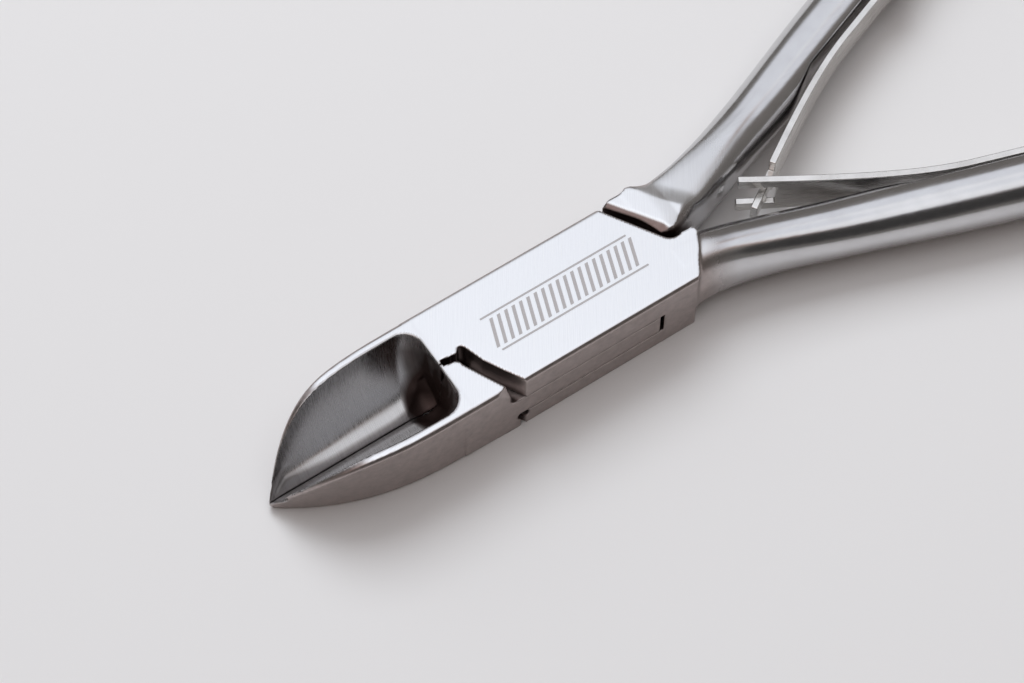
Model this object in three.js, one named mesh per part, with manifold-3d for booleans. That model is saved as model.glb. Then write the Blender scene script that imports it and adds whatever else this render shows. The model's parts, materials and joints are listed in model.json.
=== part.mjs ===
// Nail and cuticle nipper with a box-lock joint and two interlocking leaf springs.
// Millimetres, +Z up. The origin is on the pivot axis, on the face that the nipper lies on.
// -X runs to the cutting tips and +X to the handle ends. The jaws are shown closed.

import * as THREE from 'three';
import { mergeVertices } from 'three/addons/utils/BufferGeometryUtils.js';
import Module from 'manifold-3d';

const wasm = await Module();
wasm.setup();

// ---- driving dimensions ----

const THICKNESS = 7.2;            // joint and jaw roots, bottom face to top face
const HALF_WIDTH = 4.9;           // half the width of the joint
const CLEARANCE = 0.3;            // between faces that slide on each other

const BOTTOM_PLATE_TOP = 2.0;     // the box half's lower plate is 0 to this height
const TOP_PLATE_BOTTOM = 4.4;     // the box half's upper plate is this height to THICKNESS
const TENON_RADIUS = 8.0;         // round ends of the lap half's middle layer

const PIN_RADIUS = 1.7;           // the pin's ends are ground flush with the faces

const TIP_X = -27.5;              // point of the jaws
const JAW_ROOT_X = -11.0;         // the jaws start to narrow here
const JAW_OVERLAP_X = -9.6;       // the jaw lofts run on to here, inside the joint blocks
const BEAK_START_X = -18.5;       // the top rim starts to fall towards the tips here
const BEAK_DROP = 6.5;            // how far the rim has fallen at the tips
const JAW_TOP_HALF_WIDTH = 4.85;
const JAW_BOTTOM_HALF_WIDTH = 4.75;
const PARTING = CLEARANCE / 2;    // each jaw's inner face stands this far from the middle
const EDGE_TOP = 0.85;            // height of the cutting edges
const EDGE_UNDER = 0.4;           // height of the bevel under the cutting edges
const RIM_WIDTH = 0.62;           // land between the hollow and the outside of a jaw
const RIDGE_HALF_WIDTH = 0.5;     // the hollow meets the edge bevel this far from the middle
const RIDGE_HEIGHT = 1.4;
const HOLLOW_BACK_X = -11.6;      // back wall of the hollow
const HOLLOW_CORNER = 1.6;        // plan radius of its back corners
const HOLLOW_FILLET = 2.4;        // how far the floor rises into the back wall

const HANDLE_TILT = 2.2 * Math.PI / 180;   // the lap half's handle stands off by this much more
const HANDLE_SIDES = 14;
const GRIP_SECTIONS = [           // x, y, width in plan, height, height of the centre
  [9.0, -2.5, 4.4, 7.1, 3.6],
  [12.6, -2.55, 4.5, 6.5, 3.55],
  [17.0, -3.6, 4.5, 5.4, 3.45],
  [23.0, -5.55, 4.7, 4.9, 3.45],
  [34.0, -9.25, 5.2, 5.2, 3.4],
  [46.0, -13.0, 5.5, 5.4, 3.4],
  [58.0, -15.9, 5.6, 5.4, 3.35],
  [70.0, -17.0, 5.5, 5.3, 3.3],
  [82.0, -16.2, 5.2, 5.1, 3.25],
  [91.0, -14.2, 4.5, 4.6, 3.2],
];

const SPRING_MIDDLE = 3.6;        // the leaf springs stand on edge, centred on this height
const SPRING_HEIGHT = 4.5;        // at the free ends
const FOOT_HEIGHT = 2.9;          // at the feet, to which the leaves taper
const SPRING_THICKNESS = 0.6;
const FOOT_START = 0.32;          // where the springs' feet lie, as a share of the grip's length
const FOOT_LENGTH = 10.5;
const SCREW_PLACE = 7.2;          // from the front end of a foot to its screw
const FOOT_GAP = 0.4;             // from a foot to its seat
const SEAT_DEPTH = 1.0;           // of the flat ground into the inner side of the grip
const SEAT_RUN_IN = 6.0;          // length of the slope that leads down to the seat
const SEAT_LEAD = 5.0;            // how far the flat starts before the foot
const SEAT_TRAIL = 1.0;           // how far it goes on behind the foot
const LEAF_END = [18.4, 1.5];     // free end of the fork leaf
const LEAF_END_ANGLE = 149 * Math.PI / 180;
const LEAF_END_PULL = 11;         // how far the leaf runs on in its end's direction
const LEAF_FOOT_PULL = 4;         // and in its foot's direction
const FORK_SLOT_LENGTH = 3.2;
const FORK_SLOT_LOW = 2.4;
const FORK_SLOT_HIGH = 4.8;
const TONGUE_LENGTH = 3.9;
const TONGUE_LOW = 2.75;
const TONGUE_HIGH = 4.45;
const SCREW_SHANK_RADIUS = 0.75;
const SCREW_HEAD_RADIUS = 1.3;
const SCREW_HEAD_THICKNESS = 0.8;
const SCREW_DEPTH = 2.2;

// ---- solids ----

function toSolid(geometry) {
  const bare = geometry.clone();
  bare.deleteAttribute('normal');
  bare.deleteAttribute('uv');
  const merged = mergeVertices(bare, 1e-5);
  const vertProperties = new Float32Array(merged.attributes.position.array);
  const triVerts = new Uint32Array(merged.index.array);
  return new wasm.Manifold(new wasm.Mesh({ numProp: 3, vertProperties, triVerts }));
}

function toGeometry(solid) {
  const mesh = solid.getMesh();
  const geometry = new THREE.BufferGeometry();
  geometry.setAttribute('position', new THREE.BufferAttribute(mesh.vertProperties, 3));
  geometry.setIndex(new THREE.BufferAttribute(mesh.triVerts, 1));
  geometry.computeVertexNormals();
  return geometry;
}

function prism(points, low, high) {
  const shape = new THREE.Shape(points.map(([x, y]) => new THREE.Vector2(x, y)));
  const geometry = new THREE.ExtrudeGeometry(shape, { depth: high - low, bevelEnabled: false });
  geometry.translate(0, 0, low);
  return toSolid(geometry);
}

// A closed skin over rings of equal length, with a fan from the middle of each end ring.
function loft(rings) {
  const count = rings[0].length;
  const vertices = rings.flat();
  const faces = [];
  for (let ring = 0; ring + 1 < rings.length; ring += 1) {
    for (let side = 0; side < count; side += 1) {
      const a = ring * count + side;
      const b = ring * count + (side + 1) % count;
      faces.push([a, b, a + count], [b, b + count, a + count]);
    }
  }
  for (const end of [0, rings.length - 1]) {
    const centre = new THREE.Vector3();
    for (const point of rings[end]) {
      centre.addScaledVector(point, 1 / count);
    }
    const middle = vertices.push(centre) - 1;
    for (let side = 0; side < count; side += 1) {
      const a = end * count + side;
      const b = end * count + (side + 1) % count;
      faces.push(end === 0 ? [b, a, middle] : [a, b, middle]);
    }
  }
  let volume = 0;
  for (const [a, b, c] of faces) {
    volume += vertices[a].dot(new THREE.Vector3().crossVectors(vertices[b], vertices[c]));
  }
  const outward = volume > 0 ? faces : faces.map(([a, b, c]) => [a, c, b]);
  const geometry = new THREE.BufferGeometry().setFromPoints(vertices);
  geometry.setIndex(outward.flat());
  return toSolid(geometry);
}

function cylinder(radius, low, high) {
  const geometry = new THREE.CylinderGeometry(radius, radius, high - low, 32);
  geometry.rotateX(Math.PI / 2);
  geometry.translate(0, 0, (low + high) / 2);
  return geometry;
}

function steps(from, to, count) {
  return Array.from({ length: count + 1 }, (_, i) => from + (to - from) * i / count);
}

// The lap half's handle and spring are the box half's, mirrored and turned about the pivot.
function toLapSide(solid) {
  return solid.mirror([0, 1, 0]).rotate([0, 0, HANDLE_TILT * 180 / Math.PI]);
}

// ---- jaws ----

function jawTopHalfWidth(x) {
  const along = Math.max(0, (JAW_ROOT_X - x) / (JAW_ROOT_X - TIP_X));
  return JAW_TOP_HALF_WIDTH * (1 - along ** 3.8);
}

function jawBottomHalfWidth(x) {
  const along = Math.max(0, (JAW_ROOT_X - x) / (JAW_ROOT_X - TIP_X + 0.2));
  return JAW_BOTTOM_HALF_WIDTH * (1 - along ** 2.6);
}

function beakShare(x) {
  return Math.max(0, (BEAK_START_X - x) / (BEAK_START_X - TIP_X));
}

function rimHeight(x) {
  return THICKNESS - BEAK_DROP * beakShare(x) ** 2.4;
}

// One whole jaw on the +Y side, before the hollow is ground out of it.
function jawBlank() {
  const tipX = TIP_X + 0.15;
  const stations = [...steps(tipX, -24, 6), ...steps(-23, -14, 9), JAW_ROOT_X, JAW_OVERLAP_X];
  const rings = stations.map((x) => {
    const top = Math.max(jawTopHalfWidth(x), PARTING + 0.2);
    const bottom = Math.max(Math.min(jawBottomHalfWidth(x), top), PARTING + 0.15);
    const height = rimHeight(x);
    const round = Math.min(0.5, height * 0.3, (bottom - PARTING) * 0.5);
    const chamfer = Math.min(0.2, height * 0.15, (top - PARTING) * 0.4);
    const bevel = Math.min(0.8, (bottom - PARTING) * 0.4);
    const under = Math.min(EDGE_UNDER, height * 0.3);
    return [
      [PARTING, under],
      [PARTING + bevel, 0],
      [bottom - round, 0],
      [bottom, round],
      [top, height - chamfer],
      [top - chamfer, height],
      [PARTING, height],
    ].map(([y, z]) => new THREE.Vector3(x, y, z));
  });
  return loft(rings);
}

// The space ground out of both closed jaws: open above, and down to the cutting edges.
function jawHollow() {
  const cornerX = HOLLOW_BACK_X - HOLLOW_CORNER;
  const filletX = HOLLOW_BACK_X - HOLLOW_FILLET;
  const round = (x, start, size) => {
    const share = Math.min(1, Math.max(0, (x - start) / size));
    return size * (1 - Math.sqrt(1 - share * share));
  };
  const stations = [
    ...steps(TIP_X + 0.3, -23, 8),
    ...steps(-22, -15, 5),
    ...steps(-14.2, HOLLOW_BACK_X, 9),
  ];
  const wall = steps(0, 1, 5);
  const rings = stations.map((x) => {
    const rim = RIM_WIDTH * (1 - beakShare(x) ** 1.5);
    const height = rimHeight(x);
    const lift = Math.min(2.2, round(x, filletX, HOLLOW_FILLET));
    const ridgeZ = Math.min(RIDGE_HEIGHT, height * 0.8) + lift;
    const edgeZ = Math.min(EDGE_TOP, height * 0.6) + lift;
    const top = Math.max(0.2, jawTopHalfWidth(x) - rim - round(x, cornerX, HOLLOW_CORNER));
    const ridge = Math.min(RIDGE_HALF_WIDTH, top * 0.6);
    const side = wall.map((share) => [
      ridge + (top - ridge) * Math.sqrt(1 - (1 - share) ** 2),
      ridgeZ + (height - ridgeZ) * share,
    ]);
    const right = [[0.05, edgeZ], ...side, [top, THICKNESS + 1]];
    const left = right.map(([y, z]) => [-y, z]).reverse();
    return [...right, ...left].map(([y, z]) => new THREE.Vector3(x, y, z));
  });
  return loft(rings);
}

// ---- handles ----

// A grip section: nearly square where it leaves the joint, and an oval further out.
function gripRing(centre, tangent, width, height, squareness) {
  const across = new THREE.Vector3(-tangent.y, tangent.x, 0).normalize();
  return Array.from({ length: HANDLE_SIDES }, (_, side) => {
    const angle = 2 * Math.PI * (side + 0.5) / HANDLE_SIDES;
    const power = 2 / squareness;
    const u = Math.sign(Math.cos(angle)) * Math.abs(Math.cos(angle)) ** power;
    const v = Math.sign(Math.sin(angle)) * Math.abs(Math.sin(angle)) ** power;
    const point = centre.clone().addScaledVector(across, u * width / 2);
    point.z += v * height / 2;
    return point;
  });
}

const gripCurve = new THREE.CatmullRomCurve3(
  GRIP_SECTIONS.map(([x, y, , , z]) => new THREE.Vector3(x, y, z)), false, 'centripetal');
const sizeCurve = new THREE.CatmullRomCurve3(
  GRIP_SECTIONS.map(([x, , width, height]) => new THREE.Vector3(x, width, height)), false, 'centripetal');

function gripWidth(x) {
  const shares = steps(0, 1, 200);
  const near = shares.map((share) => sizeCurve.getPoint(share));
  near.sort((a, b) => Math.abs(a.x - x) - Math.abs(b.x - x));
  return [near[0].y, near[0].z];
}

function grip() {
  const rings = [];
  for (const share of steps(0, 1, 26)) {
    const centre = gripCurve.getPointAt(share);
    const tangent = gripCurve.getTangentAt(share);
    const [width, height] = gripWidth(centre.x);
    const squareness = 2.5 + 3.5 * Math.max(0, 1 - (centre.x - 9) / 9);
    rings.push(gripRing(centre, tangent, width, height, squareness));
  }
  const end = gripCurve.getPointAt(1);
  const tangent = gripCurve.getTangentAt(1);
  const [width, height] = gripWidth(end.x);
  for (const angle of [25, 45, 63, 78]) {
    const turn = angle * Math.PI / 180;
    const centre = end.clone().addScaledVector(tangent, Math.sin(turn) * height / 2);
    rings.push(gripRing(centre, tangent, width * Math.cos(turn), height * Math.cos(turn), 2.5));
  }
  return loft(rings);
}

// ---- leaf springs ----

// Where the springs' feet lie: the path of the grip there, and the distance from it to the seat.
const footPoint = gripCurve.getPointAt(FOOT_START);
const footTangent = gripCurve.getTangentAt(FOOT_START).setZ(0).normalize();
const footAcross = new THREE.Vector3(-footTangent.y, footTangent.x, 0);
const seatOffset = gripWidth(footPoint.x)[0] / 2 - SEAT_DEPTH;
const footOffset = seatOffset + FOOT_GAP + SPRING_THICKNESS / 2;
const footStart = footPoint.clone().addScaledVector(footAcross, footOffset).setZ(0);
const screwPlace = footStart.clone().addScaledVector(footTangent, SCREW_PLACE);

// A strip on edge along some points in plan, whose height changes evenly from its start to its end.
function strip(points, startHeight, endHeight) {
  const half = SPRING_THICKNESS / 2;
  const rings = points.map((point, i) => {
    const before = points[Math.max(0, i - 1)];
    const after = points[Math.min(points.length - 1, i + 1)];
    const along = after.clone().sub(before).normalize();
    const height = startHeight + (endHeight - startHeight) * i / (points.length - 1);
    const low = SPRING_MIDDLE - height / 2;
    const high = SPRING_MIDDLE + height / 2;
    const left = [point.x - along.y * half, point.y + along.x * half];
    const right = [point.x + along.y * half, point.y - along.x * half];
    return [[...left, low], [...left, high], [...right, high], [...right, low]]
      .map((corner) => new THREE.Vector3(...corner));
  });
  return loft(rings);
}

// The strip from its foot to its free end, standing on edge.
function leafBlank() {
  const start = new THREE.Vector2(footStart.x, footStart.y);
  const away = new THREE.Vector2(footTangent.x, footTangent.y);
  start.addScaledVector(away, -CLEARANCE);
  const end = new THREE.Vector2(LEAF_END[0], LEAF_END[1]);
  const outward = new THREE.Vector2(Math.cos(LEAF_END_ANGLE), Math.sin(LEAF_END_ANGLE));
  const curve = new THREE.CubicBezierCurve(
    start,
    start.clone().addScaledVector(away, -LEAF_FOOT_PULL),
    end.clone().addScaledVector(outward, -LEAF_END_PULL),
    end);
  return strip(curve.getSpacedPoints(14), FOOT_HEIGHT, SPRING_HEIGHT);
}

// What is ground off the inner side of the grip to make a flat for the foot.
function springSeat() {
  const end = FOOT_LENGTH + SEAT_TRAIL;
  const rise = SEAT_DEPTH * 1.4;
  const outline = [
    [-SEAT_LEAD - SEAT_RUN_IN, rise],
    [-SEAT_LEAD, 0],
    [end, 0],
    [end + rise, rise],
  ].map(([along, across]) => footPoint.clone()
    .addScaledVector(footTangent, along)
    .addScaledVector(footAcross, seatOffset + across));
  return prism(outline.map((point) => [point.x, point.y]), -1, THICKNESS + 1);
}

// A block across the free end of a leaf, for cutting its slot or its shoulders.
function endBlock(length, low, high) {
  const geometry = new THREE.BoxGeometry(length + 1, 4, high - low);
  geometry.translate(0.5 - length / 2, 0, (low + high) / 2);
  geometry.rotateZ(LEAF_END_ANGLE);
  geometry.translate(LEAF_END[0], LEAF_END[1], 0);
  return toSolid(geometry);
}

function forkLeaf() {
  return leafBlank().subtract(endBlock(FORK_SLOT_LENGTH, FORK_SLOT_LOW, FORK_SLOT_HIGH));
}

function tongueLeaf() {
  const upper = endBlock(TONGUE_LENGTH, TONGUE_HIGH, SPRING_MIDDLE + SPRING_HEIGHT);
  const lower = endBlock(TONGUE_LENGTH, SPRING_MIDDLE - SPRING_HEIGHT, TONGUE_LOW);
  return leafBlank().subtract(upper).subtract(lower);
}

// Turns a shape made along +Z into one that points into the grip at the screw's place.
function aimAtGrip(geometry) {
  geometry.rotateX(Math.PI / 2);
  geometry.rotateZ(Math.atan2(footTangent.y, footTangent.x));
  geometry.translate(screwPlace.x, screwPlace.y, SPRING_MIDDLE);
  return toSolid(geometry);
}

function screwHole() {
  return aimAtGrip(cylinder(SCREW_SHANK_RADIUS + CLEARANCE, -1, SCREW_DEPTH + CLEARANCE));
}

function springFoot() {
  const end = footStart.clone().addScaledVector(footTangent, FOOT_LENGTH);
  return strip([footStart, end], FOOT_HEIGHT, FOOT_HEIGHT).subtract(screwHole());
}

function springScrew() {
  const underHead = -SPRING_THICKNESS / 2 - CLEARANCE;
  const shank = aimAtGrip(cylinder(SCREW_SHANK_RADIUS, underHead - 0.2, SCREW_DEPTH));
  const head = aimAtGrip(cylinder(SCREW_HEAD_RADIUS, underHead - SCREW_HEAD_THICKNESS, underHead));
  return head.add(shank);
}

// ---- the two halves ----

// Plan of the box half's plates, from the throat round the joint.
const PLATE_PLAN = [
  [-12.0, PARTING],
  [-10.3, PARTING],
  [-9.7, 0.45],
  [-9.2, 0.35],
  [-8.4, -1.5],
  [-6.5, -HALF_WIDTH],
  [9.9, -HALF_WIDTH],
  [11.3, -2.8],
  [12.5, -1.0],
  [11.85, -0.65],
  [11.0, -0.7],
  [10.2, -0.45],
  [9.7, 0.05],
  [6.7, HALF_WIDTH],
  [-12.0, HALF_WIDTH],
];

// Full-height block between the lap half's jaw and its shoulder at the box.
const LAP_JAW_PLAN = [
  [-12.0, -PARTING],
  [-12.0, -4.85],
  [-8.0, -4.85],
  [-9.9, -0.75],
  [-10.6, -PARTING],
];

// Toe of the same block, under the box half's upper plate and up to the front of its lower one.
const LAP_TOE_PLAN = [
  [-11.0, -PARTING],
  [-11.0, -4.85],
  [-6.98, -4.85],
  [-8.85, -1.55],
  [-9.9, -0.75],
  [-10.4, -PARTING],
];

// Full-height block between the box and the lap half's handle.
const LAP_GRIP_PLAN = [
  [7.3, HALF_WIDTH],
  [10.5, 0.6],
  [11.3, 0.25],
  [13.6, 1.3],
  [12.6, 5.0],
  [8.6, 5.1],
];

// A grip with the seat and the screw hole of its spring.
function seatedGrip() {
  return grip().subtract(springSeat()).subtract(screwHole());
}

function boxHalf() {
  const middle = [BOTTOM_PLATE_TOP, TOP_PLATE_BOTTOM];
  const pocket = toSolid(cylinder(TENON_RADIUS + CLEARANCE, ...middle))
    .add(prism([[-20, -9], [0, -9], [0, PARTING], [-20, PARTING]], ...middle))
    .add(prism([[0, -PARTING], [9.8, -PARTING], [9.8, 9], [0, 9]], ...middle));
  return prism(PLATE_PLAN, 0, THICKNESS)
    .subtract(pocket)
    .add(jawBlank())
    .add(seatedGrip())
    .subtract(jawHollow())
    .subtract(toSolid(cylinder(PIN_RADIUS + CLEARANCE, -1, THICKNESS + 1)));
}

function lapHalf() {
  const low = BOTTOM_PLATE_TOP + CLEARANCE;
  const high = TOP_PLATE_BOTTOM - CLEARANCE;
  const band = prism([[-9, -HALF_WIDTH], [9, -HALF_WIDTH], [9, HALF_WIDTH], [-9, HALF_WIDTH]], low, high);
  const tenon = toSolid(cylinder(TENON_RADIUS, low, high)).intersect(band)
    .add(prism([[-10.5, -4.85], [-4, -4.85], [-4, -PARTING], [-10.5, -PARTING]], low, high))
    .add(prism([[4, PARTING], [11, PARTING + 0.3], [9, HALF_WIDTH], [4, HALF_WIDTH]], low, high))
    .add(prism(LAP_TOE_PLAN, 0, high));
  const block = prism(LAP_JAW_PLAN, 0, THICKNESS).add(prism(LAP_GRIP_PLAN, 0, THICKNESS));
  return tenon
    .add(block)
    .add(jawBlank().mirror([0, 1, 0]))
    .add(toLapSide(seatedGrip()).subtract(prism(PLATE_PLAN, -1, THICKNESS + 1)))
    .subtract(jawHollow())
    .subtract(toSolid(cylinder(PIN_RADIUS + CLEARANCE, -1, THICKNESS + 1)));
}

// ---- the assembly ----

const group = new THREE.Group();

function addPart(name, solid, color, roughness) {
  const material = new THREE.MeshStandardMaterial({ color, roughness, metalness: 1 });
  const mesh = new THREE.Mesh(toGeometry(solid), material);
  mesh.name = name;
  group.add(mesh);
}

addPart('box_half', boxHalf(), 0xc8c9cb, 0.35);
addPart('lap_half', lapHalf(), 0xc0bfbe, 0.35);
addPart('pivot_pin', toSolid(cylinder(PIN_RADIUS, 0, THICKNESS)), 0xc8c9cb, 0.4);
addPart('fork_spring_leaf', forkLeaf(), 0xa8a49c, 0.4);
addPart('fork_spring_foot', springFoot(), 0xa8a49c, 0.4);
addPart('fork_spring_screw', springScrew(), 0xb4b2ae, 0.35);
addPart('tongue_spring_leaf', toLapSide(tongueLeaf()), 0xa8a49c, 0.4);
addPart('tongue_spring_foot', toLapSide(springFoot()), 0xa8a49c, 0.4);
addPart('tongue_spring_screw', toLapSide(springScrew()), 0xb4b2ae, 0.35);

export default group;
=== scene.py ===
"""Nail nipper with a box-lock joint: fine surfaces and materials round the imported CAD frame."""

import json
import math

import bmesh
import bpy
import numpy as np
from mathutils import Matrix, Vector


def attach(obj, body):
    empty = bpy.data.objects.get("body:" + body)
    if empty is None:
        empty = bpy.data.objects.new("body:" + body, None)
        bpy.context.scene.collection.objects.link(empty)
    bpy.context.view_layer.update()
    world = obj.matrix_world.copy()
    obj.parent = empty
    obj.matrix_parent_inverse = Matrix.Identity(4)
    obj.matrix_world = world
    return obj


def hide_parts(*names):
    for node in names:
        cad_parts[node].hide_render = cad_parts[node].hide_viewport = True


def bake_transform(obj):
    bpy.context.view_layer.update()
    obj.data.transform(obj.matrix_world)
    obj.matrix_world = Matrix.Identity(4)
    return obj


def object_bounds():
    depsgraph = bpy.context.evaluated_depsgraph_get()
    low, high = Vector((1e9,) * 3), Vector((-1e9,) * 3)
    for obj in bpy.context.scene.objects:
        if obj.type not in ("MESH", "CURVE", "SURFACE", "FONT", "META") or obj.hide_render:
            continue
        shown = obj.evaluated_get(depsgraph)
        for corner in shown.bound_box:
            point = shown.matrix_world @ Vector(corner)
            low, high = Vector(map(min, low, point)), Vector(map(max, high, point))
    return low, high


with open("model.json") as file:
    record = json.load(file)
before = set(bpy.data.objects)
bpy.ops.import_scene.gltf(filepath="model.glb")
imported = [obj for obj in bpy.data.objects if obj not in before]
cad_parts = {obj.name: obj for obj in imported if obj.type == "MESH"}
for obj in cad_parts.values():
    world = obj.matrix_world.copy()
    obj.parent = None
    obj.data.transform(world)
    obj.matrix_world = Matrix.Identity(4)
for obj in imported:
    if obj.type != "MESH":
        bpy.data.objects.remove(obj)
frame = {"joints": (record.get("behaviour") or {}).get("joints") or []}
cad_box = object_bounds()

MM = 0.001

# ---- camera ----

CAMERA_AZIMUTH = math.radians(-33.6)
CAMERA_ELEVATION = math.radians(61.6)
CAMERA_DISTANCE = 230.3 * MM
CAMERA_TARGET = Vector((-3.42, 1.83, 0.0)) * MM


def add_camera():
    """A long lens, looking down at the joint from the jaws' side."""
    data = bpy.data.cameras.new("camera")
    data.lens = 100.0
    data.sensor_width = 36.0
    data.clip_start = 0.01
    data.clip_end = 20.0
    camera = bpy.data.objects.new("camera", data)
    bpy.context.scene.collection.objects.link(camera)
    back = Vector((
        math.sin(CAMERA_AZIMUTH) * math.cos(CAMERA_ELEVATION),
        -math.cos(CAMERA_AZIMUTH) * math.cos(CAMERA_ELEVATION),
        math.sin(CAMERA_ELEVATION),
    ))
    camera.location = CAMERA_TARGET + back * CAMERA_DISTANCE
    camera.rotation_euler = back.to_track_quat("Z", "Y").to_euler()
    bpy.context.scene.camera = camera
    bpy.context.scene.view_settings.view_transform = "Standard"


add_camera()

# ---- dimensions of the nipper, millimetres ----

THICKNESS = 7.2
HALF_WIDTH = 4.9
SIDE_INSET = 0.03                 # the lap half's sides stand this far inside the box half's
LAYER_GAP = 0.05                  # what shows between the layers of the box lock
SLOT_LOW = 2.0
SLOT_HIGH = 4.4
TENON_RADIUS = 8.0
WALL_RADIUS = 8.3
EDGE_CHAMFER = 0.26               # along the outer top edges
UNDERSIDE_ROUNDING = 0.35         # along the jaws' lower outer edges
PLATE_ROUNDING = 0.07
LAP_REACH = 10.5                  # how far the tenon reaches from the pivot to either end
SLOT_REAR_X = 9.8                 # the end of the slot in the box half, where its handle starts
LAP_GRIP_START_X = 10.4
HALVES_GAP = 0.15                 # between the tenon's rear wing and the slot's side
GROOVE_X = -6.75                  # the round groove across the joint's side, behind the lap half's toe
GROOVE_Z = 1.55
GROOVE_END_Y = -3.6
GROOVE_RADIUS = 0.55
TOE_GROOVE_RADIUS = 0.6

TIP_X = -27.5
JAW_ROOT_X = -11.0
JAW_END_X = -11.2
JAW_TOP_REACH = 4.87              # from the parting plane to a jaw's outer side, at the rim
JAW_TOP_CURVE = 3.8               # a higher power keeps a jaw wide for longer
JAW_BOTTOM_REACH = 4.8
JAW_BOTTOM_CURVE = 2.6
JAW_BOTTOM_OVERRUN = 0.1
BEAK_START_X = -18.5
BEAK_DROP = 6.5
BEAK_CURVE = 2.4
BEAK_LIMIT = 1.15
PARTING = 0.03                    # from the middle to each half's parting face
EDGE_TOP = 0.85
EDGE_UNDER = 0.4                  # how much the underside is relieved at the cutting edges
EDGE_UNDER_WIDTH = 0.8
RIM_WIDTH = 0.82
RIM_AT_TIP = 0.28
HOLLOW_BACK_X = -11.5
HOLLOW_BACK_LEAN = 0.1
HOLLOW_CORNER = 1.7
BEVEL_END_X = -11.9
BEVEL_OVERLAP = 0.5
RIDGE_HALF_WIDTH = 0.45
RIDGE_TIP_GAIN = 0.5
RIDGE_THROAT_GAIN = 0.75
THROAT_X = -12.75
THROAT_LENGTH = 1.5
THROAT_WIDTH = 2.1
THROAT_LOW = 0.6
THROAT_HIGH = 6.6
THROAT_FULL_Z = 4.0               # the well is full size above this height
THROAT_TAPER = 0.6                # its size at the bottom, as a share of the full size
THROAT_CORNER = 0.9

HANDLE_TILT = math.radians(2.2)    # the +Y handle is turned this much beyond the mirrored -Y one
TILT_COS = math.cos(HANDLE_TILT)
TILT_SIN = math.sin(HANDLE_TILT)
GRIP_END_X = 91.0
GRIP_DOME = 2.3
GRIP_POWER = 2.15                 # of the section's superellipse; 2 is an ellipse, more is squarer
BOX_ROOT_SQUARENESS = 0.3         # added to the power at the handle's root
LAP_ROOT_SQUARENESS = 3.6
GRIP_X = np.array([9.0, 12.6, 14.8, 17.0, 23.0, 34.0, 46.0, 58.0, 70.0, 82.0, 91.0])
GRIP_Y = np.array([-2.5, -2.55, -2.98, -3.6, -5.55, -9.25, -13.0, -15.9, -17.0, -16.2, -14.2])
GRIP_WIDTH = np.array([4.4, 4.5, 4.5, 4.5, 4.7, 5.2, 5.5, 5.6, 5.5, 5.2, 4.5])
GRIP_HEIGHT = np.array([7.1, 6.5, 6.0, 5.55, 4.95, 5.2, 5.4, 5.4, 5.3, 5.1, 4.6])
GRIP_Z = np.array([3.6, 3.75, 3.7, 3.65, 3.47, 3.4, 3.4, 3.35, 3.3, 3.25, 3.2])

SPRING_MIDDLE = 3.6               # height of the strips' middle line
SPRING_HEIGHT = 4.5               # at the free ends
FOOT_HEIGHT = 2.9                 # at the feet, to which the leaves taper
SPRING_THICKNESS = 0.6
FOOT_LENGTH = 10.5
SCREW_PLACE = 7.2                 # from the front end of a foot to its screw
FOOT_ANGLE = math.radians(-18.05)
FOOT_OFF_SEAT = 0.7               # from the middle of the strip to its seat in the grip
LEAF_END = (18.4, 1.5)
LEAF_END_ANGLE = math.radians(149.0)
LEAF_END_PULL = 11.0
LEAF_FOOT_PULL = 4.0
FORK_SLOT = (3.2, 2.4, 4.8)       # length, low, high
TONGUE = (3.9, 2.75, 4.45)
STRIP_ROUNDING = 0.09
SCREW_HEAD_RADIUS = 1.3
SCREW_HEAD_THICKNESS = 0.8
SCREW_HEAD_START = 0.3            # from the middle of the strip to the head's seat
SCREW_DOME_RADIUS = 2.2
SCREW_DOME_LIFT = 0.1
SCREW_SHANK_RADIUS = 0.72
SCREW_SLOT_HALF_WIDTH = 0.2
SCREW_SLOT_FLOOR = 0.42

DIAGONAL = 0.7071                 # cosine of 45 degrees

# ---- fields: distances to a surface, negative inside the steel ----


def both(a, b, radius=0.0):
    """The overlap of two solids, with its outer edge rounded."""
    if np.ndim(radius) == 0 and radius <= 0:
        return np.maximum(a, b)
    return (np.minimum(np.maximum(a, b), -radius)
            + np.hypot(np.maximum(a + radius, 0), np.maximum(b + radius, 0)))


def either(a, b, radius=0.0):
    """Two solids joined, with a fillet where they meet."""
    return -both(-a, -b, radius)


def without(a, b, radius=0.0):
    """The first solid with the second cut out of it."""
    return both(a, -b, radius)


def share(value, start, end):
    """How far a value is from start to end, from 0 to 1."""
    return np.clip((value - start) / (end - start), 0.0, 1.0)


def outline(x, y, points):
    """Distance to a closed outline in plan."""
    near = np.full(np.shape(x), 1e9)
    inside = np.zeros(np.shape(x), dtype=bool)
    for (ax, ay), (bx, by) in zip(points, points[1:] + points[:1]):
        dx = bx - ax
        dy = by - ay
        t = np.clip(((x - ax) * dx + (y - ay) * dy) / (dx * dx + dy * dy), 0.0, 1.0)
        near = np.minimum(near, np.hypot(x - ax - t * dx, y - ay - t * dy))
        if ay != by:
            crossing = (ay > y) != (by > y)
            inside = inside ^ (crossing & (x < ax + (y - ay) * dx / dy))
    return np.where(inside, -near, near)


def arc(cx, cy, radius, start, end, count):
    """Points on a circle, angles in degrees."""
    angles = np.radians(np.linspace(start, end, count + 1))
    return [(cx + radius * math.cos(a), cy + radius * math.sin(a)) for a in angles]


def chamfered(wall, roof, size):
    """A wall and a roof that meet in a flat bevel with softened edges."""
    slope = (wall + roof + size) * DIAGONAL
    return both(both(wall, roof, 0.05), slope, 0.05)


# ---- jaws ----


def jaw_top(x):
    """Distance of a jaw's outer side from the parting plane, at the rim."""
    along = np.clip((JAW_ROOT_X - x) / (JAW_ROOT_X - TIP_X), 0, 1)
    return JAW_TOP_REACH * (1 - along ** JAW_TOP_CURVE)


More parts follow.
